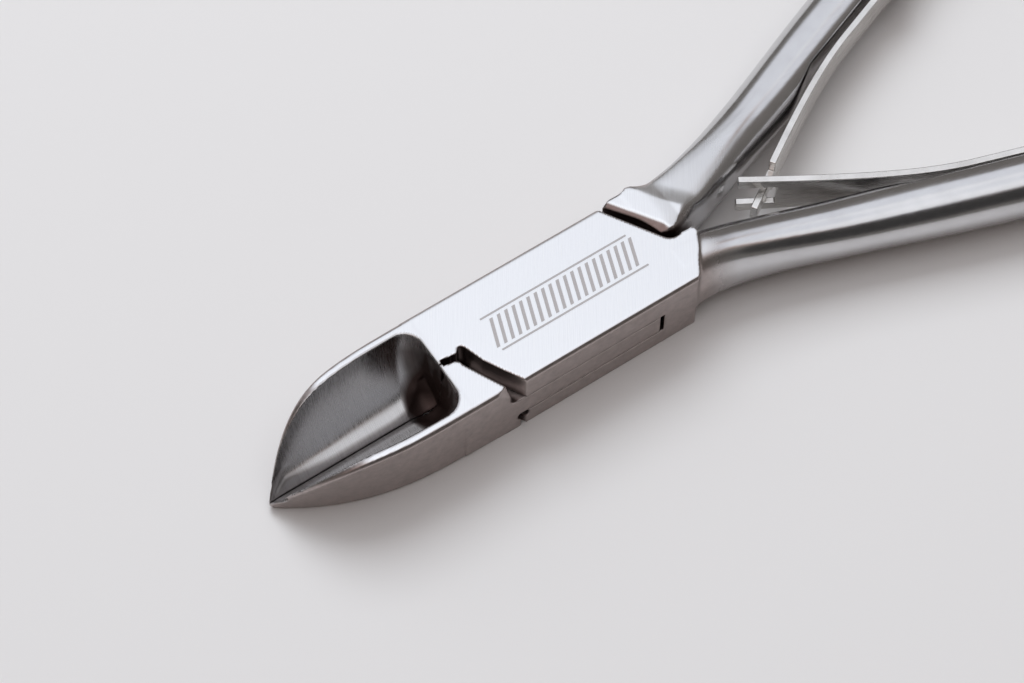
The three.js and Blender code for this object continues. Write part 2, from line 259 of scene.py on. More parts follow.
def jaw_bottom(x):
    """The same distance at the underside."""
    along = np.clip((JAW_ROOT_X - x) / (JAW_ROOT_X - TIP_X + JAW_BOTTOM_OVERRUN), 0, 1)
    return JAW_BOTTOM_REACH * (1 - along ** JAW_BOTTOM_CURVE)


def beak(x):
    """How far along the falling front part of the jaws: 0 at its start, 1 at the tips."""
    return np.clip((BEAK_START_X - x) / (BEAK_START_X - TIP_X), 0, BEAK_LIMIT)


def rim_height(x):
    return THICKNESS - BEAK_DROP * beak(x) ** BEAK_CURVE


def rim_width(x):
    return np.maximum(RIM_WIDTH * (1 - np.clip(beak(x), 0, 1) ** 1.5), RIM_AT_TIP)


def ridge_size(x):
    """Half width of the bevel above the cutting edges: wider at the tips and at the throat."""
    tips = RIDGE_TIP_GAIN * share(x, -21.0, -26.0) ** 1.5
    back = RIDGE_THROAT_GAIN * share(x, -16.0, -12.4) ** 2
    room = 0.5 * (jaw_top(x) - rim_width(x))
    return np.minimum(RIDGE_HALF_WIDTH + tips + back, np.maximum(room, 0.02))


def jaw(x, y, z):
    """A jaw on the +Y side, before grinding."""
    top = jaw_top(x)
    bottom = np.minimum(jaw_bottom(x), top)
    height = rim_height(x)
    level = np.clip(z / np.maximum(height, 0.3), 0, 1)
    steep = 1.1 * share(x, -17.0, -27.0)
    wall = (y - (bottom + (top - bottom) * level)) / np.sqrt(1 + steep ** 2)
    fall = BEAK_DROP * BEAK_CURVE / (BEAK_START_X - TIP_X) * beak(x) ** (BEAK_CURVE - 1)
    roof = (z - height) / np.sqrt(1 + fall ** 2)
    size = EDGE_CHAMFER * (1 - 0.7 * np.clip(beak(x), 0, 1))
    blank = chamfered(wall, roof, size)
    blank = both(blank, -z, UNDERSIDE_ROUNDING)
    blank = both(blank, PARTING - y, 0.03)
    under = (EDGE_UNDER * (EDGE_UNDER_WIDTH - y) / EDGE_UNDER_WIDTH - z) * 0.894
    blank = both(blank, under, 0.05)
    return both(blank, x - JAW_END_X)


def hollow(x, y, z):
    """The scoop above the ridge: a quarter of an ellipse in section."""
    height = rim_height(x)
    ridge = ridge_size(x)
    floor = np.minimum(EDGE_TOP + ridge, height * 0.8)
    wide = np.maximum(jaw_top(x) - rim_width(x) - ridge, 0.02)
    deep = np.maximum(height - floor, 0.05)
    u = np.maximum(y - ridge, 0.0)
    v = np.clip(height - z, 0.0, None)
    spread = np.sqrt((u / wide) ** 2 + (v / deep) ** 2)
    scoop = (spread - 1) * np.hypot(u, v) / np.maximum(spread, 1e-3)
    scoop = np.where(spread < 0.05, -np.minimum(wide, deep), scoop)
    back = (x - HOLLOW_BACK_X + HOLLOW_BACK_LEAN * (THICKNESS - z)) * 0.99
    return both(scoop, back, HOLLOW_CORNER)


def bevel(x, y, z):
    """The wedge between the cutting edge and the ridge."""
    slope = (EDGE_TOP + (y - 0.02) - z) * DIAGONAL
    wedge = np.maximum(slope, y - ridge_size(x) - BEVEL_OVERLAP)
    return np.maximum(wedge, x - BEVEL_END_X)


def throat(x, y, z):
    """The relief behind the cutting edges: a tapering oval well that runs up the hollow's back wall."""
    size = THROAT_TAPER + (1 - THROAT_TAPER) * share(z, THROAT_LOW, THROAT_FULL_Z)
    oval = np.hypot((x - THROAT_X) / THROAT_LENGTH, y / THROAT_WIDTH) - size
    return both(oval * THROAT_LENGTH, np.maximum(THROAT_LOW - z, z - THROAT_HIGH), THROAT_CORNER)


def ground(steel, x, y, z):
    """Cuts the hollow, the edge bevel and the throat out of a jaw."""
    cut = both(-hollow(x, y, z), -bevel(x, y, z), 0.3)
    cut = both(cut, -throat(x, y, z), 0.8)
    return both(steel, cut, 0.06)


def grinding(x, y, z):
    """Distance to the nearest ground surface inside a jaw."""
    near = np.minimum(np.abs(hollow(x, y, z)), np.abs(bevel(x, y, z)))
    return np.minimum(near, np.abs(throat(x, y, z)))


# ---- handles ----


def smooth_table(x, knots, values):
    """A smooth curve through a few sections, straight beyond them."""
    slopes = np.gradient(values, knots)
    i = np.clip(np.searchsorted(knots, x) - 1, 0, len(knots) - 2)
    step = knots[i + 1] - knots[i]
    t = np.clip((x - knots[i]) / step, 0.0, 1.0)
    t2 = t * t
    t3 = t2 * t
    inner = ((2 * t3 - 3 * t2 + 1) * values[i] + (t3 - 2 * t2 + t) * step * slopes[i]
             + (3 * t2 - 2 * t3) * values[i + 1] + (t3 - t2) * step * slopes[i + 1])
    after = np.maximum(x - knots[-1], 0.0) * slopes[-1]
    before = np.minimum(x - knots[0], 0.0) * slopes[0]
    return inner + after + before


def grip_line(x):
    """The -Y handle's centre line in plan."""
    return smooth_table(x, GRIP_X, GRIP_Y)


def foot_place(joint_name):
    """Where a leaf spring leaves its foot, in millimetres: the frame's own joint."""
    joint = next(j for j in frame["joints"] if j["name"] == joint_name)
    return np.array(joint["pos_m"][:2]) * 1000


FOOT_START = foot_place("fork_flex")
FOOT_ALONG = np.array([math.cos(FOOT_ANGLE), math.sin(FOOT_ANGLE)])
SEAT_OUTLINE = [(-11.0, 1.4), (-5.0, 0.0), (11.5, 0.0), (12.9, 1.4), (12.9, 6.0), (-11.0, 6.0)]


def spring_seat(x, y):
    """The flat ground into the inner side of the -Y grip, under the fork spring's foot."""
    along = (x - FOOT_START[0]) * FOOT_ALONG[0] + (y - FOOT_START[1]) * FOOT_ALONG[1]
    across = (y - FOOT_START[1]) * FOOT_ALONG[0] - (x - FOOT_START[0]) * FOOT_ALONG[1]
    return outline(along, across + FOOT_OFF_SEAT, SEAT_OUTLINE)


def grip(x, y, z, squareness):
    """A handle on the -Y side: a bar along its bowed centre line, with a domed end."""
    slope = (grip_line(x + 0.1) - grip_line(x - 0.1)) / 0.2
    u = (y - grip_line(x)) / np.sqrt(1 + slope ** 2)
    v = z - smooth_table(x, GRIP_X, GRIP_Z)
    inner = np.minimum(x, GRIP_END_X)
    past = np.maximum(x - GRIP_END_X, 0.0) / GRIP_DOME
    dome = np.sqrt(np.maximum(1 - past ** 2, 1e-6))
    half_width = smooth_table(inner, GRIP_X, GRIP_WIDTH) / 2 * dome
    half_height = smooth_table(inner, GRIP_X, GRIP_HEIGHT) / 2 * dome
    power = GRIP_POWER + squareness * (1 - share(x, 10.0, 24.0)) ** 2
    spread = ((np.abs(u) / half_width) ** power + (np.abs(v) / half_height) ** power) ** (1 / power)
    bar = (spread - 1) * np.hypot(u, v) / np.maximum(spread, 1e-3)
    bar = np.where(spread < 0.05, -half_width, bar)
    bar = np.maximum(bar, x - GRIP_END_X - GRIP_DOME + 0.02)
    return without(bar, spring_seat(x, y), 0.2)


# ---- the two halves ----

PLATE = (
    [(-12.0, 0.12), (-11.0, 0.3), (-10.3, 0.14)]
    + arc(-9.95, 0.85, 0.72, -115, -70, 3)
    + arc(-9.35, 0.1, 0.42, 95, 20, 4)
    + [(-8.4, -1.5), (-7.5, -3.2), (-6.5, -HALF_WIDTH)]
    + [(9.9, -HALF_WIDTH), (10.45, -4.25), (11.3, -2.8), (12.45, -1.1)]
    + arc(12.0, -1.0, 0.4, 0, 110, 4)
    + arc(10.75, 0.45, 1.15, -65, -150, 6)
    + [(6.7, HALF_WIDTH), (-12.0, HALF_WIDTH)]
)
LAP_SHOULDER = (
    [(-12.0, -0.3), (-12.0, -6.0), (-7.35, -6.0), (-8.2, -4.35), (-9.85, -1.0)]
    + arc(-10.45, -0.95, 0.6, 5, 95, 5)
    + [(-11.2, -0.2)]
)
LAP_TOE = [(-12.0, -PARTING), (-12.0, -6.0), (-6.4, -6.0), (-8.9, -1.3), (-9.9, -0.5)]
FACET_NORMAL = (0.337, -0.887, 0.316)
FACET_POINT = (-8.17, -4.41, 7.2)
LAP_ROOT = [
    (7.3, 4.9), (8.1, 5.08), (10.05, 5.02), (10.6, 4.25), (11.6, 2.97), (12.9, 1.55),
    (12.3, 0.95), (11.55, 0.35), (11.0, 0.1), (10.5, 0.35),
]
ROOT_BEVEL_NORMAL = (-0.48, -0.312, 0.819)
ROOT_BEVEL_POINT = (8.0, 4.75, 7.2)


def plane(x, y, z, point, normal):
    """Distance in front of a plane."""
    return sum((value - place) * part for value, place, part in zip((x, y, z), point, normal))


def slab(x, y, z, points, top=THICKNESS):
    """A flat plate on the floor, with a given outline in plan."""
    return both(outline(x, y, points), np.maximum(-z, z - top), PLATE_ROUNDING)


def flat_sides(solid, y, z, inset=0.0):
    """Trims a solid to the joint's width, with a bevel along the top edges."""
    wall = np.abs(y) - HALF_WIDTH + inset
    return both(solid, chamfered(wall, z - THICKNESS, EDGE_CHAMFER), 0.03)


def groove(x, z, radius):
    return np.hypot(x - GROOVE_X, z - GROOVE_Z) - radius


def slot_level(z):
    """Distance above or below the slot through the box half."""
    return np.abs(z - (SLOT_LOW + SLOT_HIGH) / 2) - (SLOT_HIGH - SLOT_LOW) / 2


def box_half(x, y, z):
    """The plates and their slot, the +Y jaw and the -Y handle."""
    steel = flat_sides(slab(x, y, z, PLATE), y, z)
    disc = np.hypot(x, y) - WALL_RADIUS
    front = np.maximum(x, y - 0.1)
    rear = np.maximum(np.maximum(-x, -HALVES_GAP - y), x - SLOT_REAR_X)
    pocket = np.maximum(slot_level(z), np.minimum(disc, np.minimum(front, rear)))
    steel = without(steel, pocket, 0.04)
    steel = without(steel, np.maximum(groove(x, z, GROOVE_RADIUS), y - GROOVE_END_Y), 0.05)
    steel = ground(np.minimum(steel, jaw(x, y, z)), x, y, z)
    handle = np.maximum(grip(x, y, z, BOX_ROOT_SQUARENESS), SLOT_REAR_X - x)
    steel = either(steel, handle, 0.3)
    return np.maximum(steel, z - THICKNESS)


def lap_half(x, y, z):
    """The tenon in the slot, the -Y jaw with its shoulder and toe, and the +Y handle with its root."""
    disc = np.hypot(x, y) - TENON_RADIUS
    front = np.maximum(np.maximum(x, y + PARTING), -LAP_REACH - x)
    rear = np.maximum(np.maximum(-x, HALVES_GAP - y), x - LAP_REACH)
    tenon = np.maximum(np.minimum(disc, np.minimum(front, rear)), slot_level(z) + LAYER_GAP)
    facet = plane(x, y, z, FACET_POINT, FACET_NORMAL)
    shoulder = both(slab(x, y, z, LAP_SHOULDER), facet, 0.04)
    toe = slab(x, y, z, LAP_TOE, SLOT_HIGH - LAYER_GAP)
    toe = without(toe, groove(x, z, TOE_GROOVE_RADIUS))
    steel = either(shoulder, np.minimum(toe, tenon), 0.8)
    steel = np.maximum(steel, z - THICKNESS)
    steel = flat_sides(steel, y, z, SIDE_INSET)
    rounding = UNDERSIDE_ROUNDING * share(x, -8.0, -11.5)
    steel = both(steel, both(-y - HALF_WIDTH + SIDE_INSET, -z, rounding))
    steel = ground(np.minimum(steel, jaw(x, -y, z)), x, -y, z)
    handle = grip(x * TILT_COS + y * TILT_SIN, x * TILT_SIN - y * TILT_COS, z, LAP_ROOT_SQUARENESS)
    handle = np.maximum(handle, LAP_GRIP_START_X - x)
    handle = without(handle, outline(x, y, PLATE) - 0.5, 0.2)
    root = slab(x, y, z, LAP_ROOT)
    blend = both(either(root, handle, 1.6), z - THICKNESS, 0.07 + 1.1 * share(x, 9.5, 12.0))
    blend = both(blend, plane(x, y, z, ROOT_BEVEL_POINT, ROOT_BEVEL_NORMAL), 0.08)
    return np.minimum(steel, both(blend, -z, 0.1))


# ---- meshes from fields ----


def slope_of(field, points):
    """The field's gradient at some points."""
    reach = 0.01
    gradient = np.empty_like(points)
    for axis in range(3):
        offset = np.zeros(3)
        offset[axis] = reach
        gradient[:, axis] = (field(*(points + offset).T) - field(*(points - offset).T)) / (2 * reach)
    return gradient


def crossings(values, grid, axis):
    """Where the surface crosses the grid's lines along one axis, and the four cells round each place."""
    shape = np.array(values.shape)
    step = np.eye(3, dtype=int)[axis]
    inside = values < 0
    here = inside[:shape[0] - step[0], :shape[1] - step[1], :shape[2] - step[2]]
    there = inside[step[0]:, step[1]:, step[2]:]
    at = np.argwhere(here != there)
    others = [a for a in range(3) if a != axis]
    at = at[np.all((at[:, others] > 0) & (at[:, others] < (shape - 1)[others]), axis=1)]
    start = tuple(at.T)
    end = tuple((at + step).T)
    first = np.stack([line[start] for line in grid], axis=1)
    second = np.stack([line[end] for line in grid], axis=1)
    part = (values[start] / (values[start] - values[end]))[:, None]
    ring = []
    for back in ((1, 1), (0, 1), (0, 0), (1, 0)):
        cell = at.copy()
        cell[:, others] -= back
        ring.append(np.ravel_multi_index(tuple(cell.T), shape - 1))
    ring = np.stack(ring, axis=1)
    forward = inside[start] if axis != 1 else ~inside[start]
    ring[~forward] = ring[~forward][:, ::-1]
    return first + (second - first) * part, ring


def surface(field, xs, shift, vs, zs):
    """Corners and quads of a field's zero surface, with its creases kept: dual contouring.

    The grid's rows follow shift(x) in Y, so that a narrow grid can follow a bowed handle."""
    shape = (len(xs), len(vs), len(zs))
    x = np.broadcast_to(xs[:, None, None], (shape[0], shape[1], 1))
    y = vs[None, :, None] + shift(xs)[:, None, None]
    z = zs[None, None, :]
    values = np.broadcast_to(field(x, y, z), shape)
    grid = [np.broadcast_to(line, shape) for line in (x, y, z)]
    found = [crossings(values, grid, axis) for axis in range(3)]
    places = np.concatenate([place for place, _ in found])
    rings = np.concatenate([ring for _, ring in found])
    normals = slope_of(field, places)
    normals /= np.maximum(np.linalg.norm(normals, axis=1), 1e-9)[:, None]
    cells, quads = np.unique(rings, return_inverse=True)
    quads = quads.reshape(-1, 4)
    count = np.bincount(quads.ravel(), minlength=len(cells))[:, None]

    def gathered(values):
        columns = [np.bincount(quads.ravel(), np.repeat(column, 4), len(cells)) for column in values.T]
        return np.stack(columns, axis=1)

    middle = gathered(places) / count
    products = (normals[:, :, None] * normals[:, None, :]).reshape(-1, 9)
    matrix = gathered(products).reshape(-1, 3, 3)
    target = gathered(normals * (normals * places).sum(axis=1)[:, None])
    target -= np.einsum("nij,nj->ni", matrix, middle)
    move = np.linalg.solve(matrix + 0.12 * np.eye(3), target[:, :, None])[:, :, 0]
    length = np.maximum(np.linalg.norm(move, axis=1), 1e-9)
    reach = 0.9 * (xs[1] - xs[0])
    points = middle + move * np.minimum(1.0, reach / length)[:, None]
    for _ in range(2):
        gradient = slope_of(field, points)
        size = np.maximum((gradient ** 2).sum(axis=1), 0.2)
        step = np.clip(field(*points.T) / size, -0.04, 0.04)
        points = points - gradient * step[:, None]
    return points, quads, gradient / np.sqrt(size)[:, None]


def mesh_piece(name, points, faces):
    """A smooth-shaded piece from corners in millimetres and faces that all have as many sides."""
    mesh = bpy.data.meshes.new(name)
    mesh.vertices.add(len(points))
    mesh.vertices.foreach_set("co", (np.asarray(points) * MM).astype(np.float32).ravel())
    sides = faces.shape[1]
    mesh.loops.add(faces.size)
    mesh.loops.foreach_set("vertex_index", faces.astype(np.int32).ravel())
    mesh.polygons.add(len(faces))
    mesh.polygons.foreach_set("loop_start", np.arange(0, faces.size, sides, dtype=np.int32))
    mesh.polygons.foreach_set("use_smooth", np.ones(len(faces), dtype=bool))
    mesh.update(calc_edges=True)
    mesh.validate()
    piece = bpy.data.objects.new(name, mesh)
    bpy.context.scene.collection.objects.link(piece)
    return piece


def spaced(*stops):
    """Grid lines whose spacing changes at each stop: (from, to, step)."""
    lines = [np.arange(start, end - step / 2, step) for start, end, step in stops]
    return np.concatenate(lines + [[stops[-1][1]]])


def paint(piece, zones):
    """Stores four weights on each corner, for the material to read."""
    layer = piece.data.color_attributes.new("zones", "FLOAT_COLOR", "POINT")
    layer.data.foreach_set("color", np.stack(zones, axis=1).astype(np.float32).ravel())


def zones_of(points, normals, field, other, side):
    """Four weights for each corner: flat ground faces, jaw hollow, painted shade and handle."""
    x, y, z = points.T
    y = y * side
    up = normals[:, 2]
    flat = share(np.abs(up), 0.86, 0.97) * share(np.abs(z - THICKNESS / 2), 3.3, 3.5)
    # On the lap half the upward faces of the handle's root also take the flat faces' satin finish; its light
    # colour there is a painted highlight.
    if side < 0:
        root = share(x, 22.0, 14.0) * share(x, LAP_GRIP_START_X, 10.6)
        flat = np.maximum(flat, share(up, 0.8, 0.95) * root)

    inside = share(-grinding(x, y, z), -0.2, -0.08) * share(x, JAW_ROOT_X, -11.3)
    well = share(throat(x, y, z), 1.0, 0.8) * share(z, 7.1, 6.9) * share(x, -11.3, -11.5)
    inside = np.maximum(inside, well)

    # Painted shade: darker where the steel faces itself or the other half within reach, in seams, gaps and
    # recesses, less on faces turned up.
    reach = 0.8
    ahead = (points + normals * reach).T
    painted_shade = np.clip(1 - np.minimum(field(*ahead), other(*ahead)) / reach, 0, 1)
    painted_shade = painted_shade * (1 - 0.7 * share(up, 0.6, 0.8))
    # Painted shade along the cutting bevel inside the jaws, in the throat well and on the hollow's back wall
    # near the throat.
    near_edge = share(bevel(x, y, z), 0.3, 0.05) * share(x, JAW_ROOT_X, -13.0) * 0.5
    near_throat = share(throat(x, y, z), 0.9, 0.3) * share(z, 7.0, 6.0)
    near_throat = np.maximum(near_throat, 0.6 * share(x, -13.6, -12.6) * share(z, THROAT_HIGH, 5.0))
    dark = np.maximum(painted_shade * (1 - 0.85 * inside), inside * np.maximum(near_edge, near_throat))
    handle = share(x, 11.0, 14.0)
    # Painted shade: the handles are darker towards their lower half.
    dark = np.maximum(dark, 0.55 * handle * share(z, 4.4, 2.4))
    return flat * (1 - inside), inside, dark, handle


def build_half(name, field, other, side, shift):
    """One half as a painted mesh, finest at the jaws and the joint."""
    step = 0.125
    xs = spaced((-28.1, 14.0, step), (14.0, 24.0, 2 * step), (24.0, 94.2, 3 * step))
    vs = spaced((-5.55, 5.55, step))
    zs = spaced((-0.26, 7.46, step))
    points, quads, normals = surface(field, xs, shift, vs, zs)
    piece = mesh_piece(name, points, quads)
    paint(piece, zones_of(points, normals, field, other, side))
    return piece


def box_shift(x):
    """How far the grid of the box half follows its handle in Y."""
    start = GRIP_X[0]
    return np.where(x > start, grip_line(x) - grip_line(GRIP_X[:1]), 0.0)


def lap_shift(x):
    """The same for the lap half, whose handle is mirrored and tilted."""
    start = GRIP_X[0]
    tilt = (x - start) * math.tan(HANDLE_TILT) * share(x, start, 14.0)
    return np.where(x > start, -box_shift(x) + tilt, 0.0)


# ---- springs and screws ----


def spring_path():
    """Centre line of the fork spring from the end of its foot to its free end."""
    end = np.array(LEAF_END)
    outward = np.array([math.cos(LEAF_END_ANGLE), math.sin(LEAF_END_ANGLE)])
    before = FOOT_START - FOOT_ALONG * LEAF_FOOT_PULL
    after = end - outward * LEAF_END_PULL
    t = np.linspace(0, 1, 60)[:, None]
    rest = 1 - t
    bend = FOOT_START * rest ** 3 + 3 * before * rest ** 2 * t + 3 * after * rest * t ** 2 + end * t ** 3
    foot = FOOT_START + FOOT_ALONG * np.linspace(FOOT_LENGTH, 0, 12)[:-1, None]
    return np.concatenate([foot, bend])


def to_lap_side(points):
    """Mirrors plan points to the lap half's side and turns them by the handles' difference."""
    x = points[:, 0]
    y = -points[:, 1]
    return np.stack([x * TILT_COS - y * TILT_SIN, x * TILT_SIN + y * TILT_COS], axis=1)


def resampled(path, stops):
    """Points and unit tangents at given distances before the path's end."""
    lengths = np.concatenate([[0], np.cumsum(np.linalg.norm(np.diff(path, axis=0), axis=1))])
    at = lengths[-1] - stops
    points = np.stack([np.interp(at, lengths, path[:, i]) for i in range(2)], axis=1)
    tangents = np.gradient(points, axis=0)
    return points, tangents / np.linalg.norm(tangents, axis=1)[:, None]


def leaf_spring(name, path, end_length, levels, kept):
    """A bent, tapering strip on edge, whose free end keeps only some of the bands between its levels."""
    total = np.linalg.norm(np.diff(path, axis=0), axis=1).sum()
    stops = np.concatenate([np.linspace(total, end_length, 64), np.linspace(end_length, 0, 8)[1:]])
    points, tangents = resampled(path, stops)
    sideways = np.stack([-tangents[:, 1], tangents[:, 0]], axis=1) * SPRING_THICKNESS / 2
    heights = FOOT_HEIGHT + (SPRING_HEIGHT - FOOT_HEIGHT) * share(stops, total - FOOT_LENGTH, 0.0)
    mesh = bmesh.new()
    corners = {}

    def level(i, j):
        if j == 0:
            return SPRING_MIDDLE - heights[i] / 2
        if j == len(levels) - 1:
            return SPRING_MIDDLE + heights[i] / 2
        return levels[j]

    def corner(i, j, face):
        if (i, j, face) not in corners:
            place = points[i] + sideways[i] * face
            corners[i, j, face] = mesh.verts.new((place[0] * MM, place[1] * MM, level(i, j) * MM))
        return corners[i, j, face]

    def solid(i, j):
        if not (0 <= i < len(stops) - 1 and 0 <= j < len(levels) - 1):
            return False
        return stops[i] > end_length + 1e-6 or j in kept

    for i in range(len(stops) - 1):
        for j in range(len(levels) - 1):
            if not solid(i, j):
                continue
            a = (i, j)
            b = (i + 1, j)
            c = (i + 1, j + 1)
            d = (i, j + 1)
            mesh.faces.new([corner(*p, 1) for p in (a, b, c, d)])
            mesh.faces.new([corner(*p, -1) for p in (d, c, b, a)])
            for other, (p, q) in (((i, j - 1), (a, b)), ((i + 1, j), (b, c)),
                                  ((i, j + 1), (c, d)), ((i - 1, j), (d, a))):
                if not solid(*other):
                    mesh.faces.new([corner(*q, 1), corner(*p, 1), corner(*p, -1), corner(*q, -1)])
    bmesh.ops.recalc_face_normals(mesh, faces=mesh.faces)
    data = bpy.data.meshes.new(name)
    mesh.to_mesh(data)
    mesh.free()
    piece = bpy.data.objects.new(name, data)
    bpy.context.scene.collection.objects.link(piece)
    for face in data.polygons:
        face.use_smooth = True
    rounding = piece.modifiers.new("edges", "BEVEL")
    rounding.width = STRIP_ROUNDING * MM
    rounding.segments = 2
    rounding.limit_method = "ANGLE"
    rounding.angle_limit = math.radians(40)
    rounding.harden_normals = True
    return piece


def screw_field(x, y, z):
    """A slotted pan head, rising along +Z from its seat."""
    around = np.hypot(x, y)
    dome = np.hypot(around, z + SCREW_DOME_RADIUS) - SCREW_DOME_RADIUS
    dome = dome - SCREW_HEAD_THICKNESS - SCREW_DOME_LIFT
    head = both(both(around - SCREW_HEAD_RADIUS, dome, 0.18), -z, 0.08)
    slot = both(np.abs(y) - SCREW_SLOT_HALF_WIDTH, SCREW_SLOT_FLOOR - z)
    shank = both(around - SCREW_SHANK_RADIUS, np.maximum(z - 0.2, -0.35 - z), 0.03)
    return np.minimum(without(head, slot, 0.05), shank)


def screw(name, seat, outward):
    """A screw whose head stands on its seat, with its slot level."""
    step = 0.06
    lines = spaced((-1.74, 1.74, step))
    points, quads, _ = surface(screw_field, lines, lambda x: x * 0.0, lines, spaced((-0.5, 1.14, step)))
    piece = mesh_piece(name, points, quads)
    towards = Vector((outward[0], outward[1], 0.0))
    turn = towards.to_track_quat("Z", "X").to_matrix().to_4x4()
    turn.translation = Vector(seat) * MM
    piece.data.transform(turn)
    return piece


# ---- the ornament etched on the upper plate ----

BAND_START = -6.6
BAND_END = 7.3
BAND_HALF_HEIGHT = 1.6
BAND_LINE = 0.16
BAND_BAR = 0.3
BAND_BARS = 20
BAND_LEAN = 0.9
BAND_MARGIN = 0.35                # between the bars' ends and the hairlines
ETCH_RISE = 0.006


def etched_band():
    """Two hairlines with a row of leaning bars between them."""
    mesh = bmesh.new()

    def bar(corners):
        low, high = [
            [mesh.verts.new((x * MM, y * MM, level * MM)) for x, y in corners]
            for level in (THICKNESS - ETCH_RISE, THICKNESS + ETCH_RISE)
        ]
        mesh.faces.new(high)
        mesh.faces.new(low[::-1])
        for i in range(4):
            j = (i + 1) % 4
            mesh.faces.new([low[i], low[j], high[j], high[i]])

    for y in (-BAND_HALF_HEIGHT, BAND_HALF_HEIGHT):
        bar([(BAND_START, y - BAND_LINE / 2), (BAND_END, y - BAND_LINE / 2),
             (BAND_END, y + BAND_LINE / 2), (BAND_START, y + BAND_LINE / 2)])
    reach = BAND_HALF_HEIGHT - BAND_MARGIN
    lean = BAND_LEAN / 2
    half = BAND_BAR / 2
    for i in range(BAND_BARS):
        x = BAND_START + (BAND_END - BAND_START) * (i + 0.5) / BAND_BARS
        bar([(x - lean - half, -reach), (x - lean + half, -reach),
             (x + lean + half, reach), (x + lean - half, reach)])
    data = bpy.data.meshes.new("etched_band")
    mesh.to_mesh(data)
    mesh.free()
    piece = bpy.data.objects.new("etched_band", data)
    bpy.context.scene.collection.objects.link(piece)
    return piece


# ---- materials ----


class Graph:
    """Short calls for building a material's nodes."""

    def __init__(self, name):
        self.material = bpy.data.materials.new(name)
        self.material.use_nodes = True
        self.tree = self.material.node_tree
        self.shader = self.tree.nodes["Principled BSDF"]

    def node(self, kind, inputs=None, **settings):
        made = self.tree.nodes.new(kind)
        for key, value in settings.items():
            setattr(made, key, value)
        for key, value in (inputs or {}).items():
            self.put(made.inputs[key], value)
        return made

    def put(self, socket, value):
        if isinstance(value, bpy.types.NodeSocket):
            self.tree.links.new(value, socket)
        else:
            socket.default_value = value

    def place(self, scale, turn=0.0):
        """Object coordinates in millimetres, turned about Z and then scaled."""
        coords = self.node("ShaderNodeTexCoord").outputs["Object"]
        inputs = {"Vector": coords, "Angle": -turn}
        turned = self.node("ShaderNodeVectorRotate", inputs, rotation_type="Z_AXIS").outputs["Vector"]
        size = tuple(part * 1000 for part in scale)
        return self.node("ShaderNodeMapping", {"Vector": turned, "Scale": size}).outputs[0]

    def noise(self, scale, detail, turn=0.0, roughness=0.55):
        inputs = {"Vector": self.place(scale, turn), "Scale": 1.0, "Detail": detail, "Roughness": roughness}
        return self.node("ShaderNodeTexNoise", inputs).outputs["Fac"]

    def times(self, value, factor):
        return self.node("ShaderNodeMath", {0: value, 1: factor}, operation="MULTIPLY").outputs[0]

    def span(self, value, low, high, to_low, to_high):
        """Maps a value from one range to another, held at the ends."""
        inputs = {"Value": value, "From Min": low, "From Max": high, "To Min": to_low, "To Max": to_high}
        return self.node("ShaderNodeMapRange", inputs).outputs["Result"]

    def mix(self, factor, a, b):
        """Mixes two numbers, or two colours."""
        if isinstance(a, tuple) or isinstance(b, tuple) or self.is_colour(a) or self.is_colour(b):
            made = self.node("ShaderNodeMix", data_type="RGBA")
            sockets = (made.inputs[0], made.inputs[6], made.inputs[7])
            output = made.outputs[2]
        else:
            made = self.node("ShaderNodeMix", data_type="FLOAT")
            sockets = (made.inputs[0], made.inputs[2], made.inputs[3])
            output = made.outputs[0]
        for socket, value in zip(sockets, (factor, a, b)):
            self.put(socket, (*value, 1.0) if isinstance(value, tuple) else value)
        return output

    def is_colour(self, value):
        return isinstance(value, bpy.types.NodeSocket) and value.type == "RGBA"

    def tint(self, colour, value, low, high):
        """A colour made darker or lighter by a 0 to 1 value."""
        factor = self.span(value, 0.25, 0.75, low, high)
        made = self.node("ShaderNodeMix", data_type="RGBA", blend_type="MULTIPLY")
        made.inputs[0].default_value = 1.0
        made.inputs[6].default_value = (*colour, 1.0)
        grey = self.node("ShaderNodeCombineColor", {0: factor, 1: factor, 2: factor})
        self.put(made.inputs[7], grey.outputs[0])
        return made.outputs[2]


BRUSH_TURN = math.radians(-33.0)  # of the brushing on the flat faces
STROKE_TURN = math.radians(-8.0)  # of the grinding in the hollows


